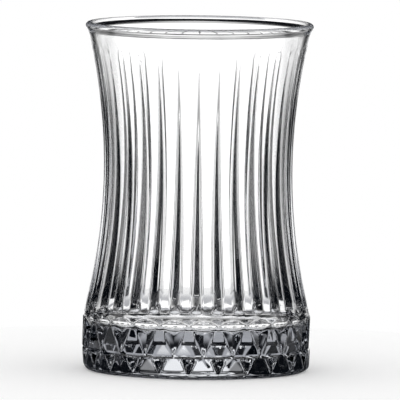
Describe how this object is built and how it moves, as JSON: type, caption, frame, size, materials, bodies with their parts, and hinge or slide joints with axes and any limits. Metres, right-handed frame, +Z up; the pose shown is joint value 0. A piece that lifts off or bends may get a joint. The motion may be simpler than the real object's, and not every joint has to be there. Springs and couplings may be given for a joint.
{
  "type": "tea glass",
  "caption": "Small clear tea glass with no handle: flared plain rim, waisted wall with upright wedge grooves, and a heavy solid base with a band of triangular facets and pits.",
  "frame": {"origin": "centre of the ring that the glass stands on, at the level of the table", "axes": "+Z up along the axis of the glass, -Y towards the picture's viewer"},
  "size_m": [0.059, 0.059, 0.09],
  "materials": {
    "clear_glass": "colourless soda-lime glass, moulded and fire-polished"
  },
  "bodies": {
    "root": {"faceted_base": "clear_glass", "grooved_wall": "clear_glass", "rim": "clear_glass"}
  },
  "joints": []
}
